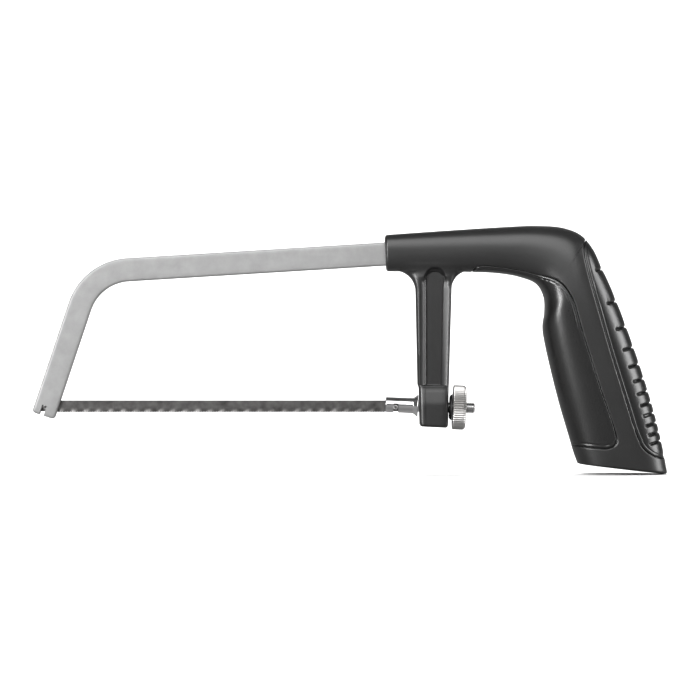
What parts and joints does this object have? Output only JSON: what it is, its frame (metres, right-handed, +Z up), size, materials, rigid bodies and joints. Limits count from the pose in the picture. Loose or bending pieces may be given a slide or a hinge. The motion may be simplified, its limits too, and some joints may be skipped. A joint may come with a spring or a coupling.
{
  "type": "junior hacksaw",
  "caption": "Small hacksaw: a bent flat-bar bow in a moulded pistol-grip handle, a fine pin blade, and a slotted rod with a knurled nut that tensions it.",
  "frame": {"origin": "centre of the saw's bounding box", "axes": "+X along the blade, from the bow's free end towards the grip; +Z up, from the blade towards the bow's back; +Y across the saw, which is alike on both sides of Y = 0"},
  "size_m": [0.2709, 0.026, 0.1059],
  "materials": {
    "bow_paint": "satin silver-grey paint",
    "handle_black": "satin moulded black",
    "insert_black": "satin black, moulded over the handle",
    "blade_steel": "dark rolled steel",
    "rod_chrome": "bright chrome",
    "washer_black": "matt black",
    "nut_nickel": "bright nickel"
  },
  "bodies": {
    "root": {"frame_bow": "bow_paint", "handle_body": "handle_black", "palm_insert": "insert_black", "finger_insert": "insert_black", "thrust_washer": "washer_black"},
    "tension_rod": {"tension_rod": "rod_chrome"},
    "thumb_nut": {"thumb_nut": "nut_nickel"},
    "blade": {"saw_blade": "blade_steel", "blade_pin_front": "blade_steel", "blade_pin_rear": "blade_steel"}
  },
  "joints": [
    {"name": "nut_spin", "type": "hinge", "parent": "root", "child": "thumb_nut", "pos_m": [0.0355, 0, -0.0243], "axis": [0.9992, 0, -0.0401], "range_deg": [0, 1440]},
    {"name": "rod_slide", "type": "slide", "parent": "root", "child": "tension_rod", "axis": [-0.9992, 0, 0.0401], "range_m": [0, 0.0032]},
    {"name": "blade_swing", "type": "hinge", "parent": "root", "child": "blade", "pos_m": [-0.1306, 0, -0.0246], "axis": [0, 1, 0], "range_deg": [0, 14.4]}
  ],
  "couplings": [
    {"joint": "nut_spin", "follows": "rod_slide", "rad_per_m": 7854},
    {"joint": "blade_swing", "follows": "rod_slide", "rad_per_m": 78.54}
  ]
}
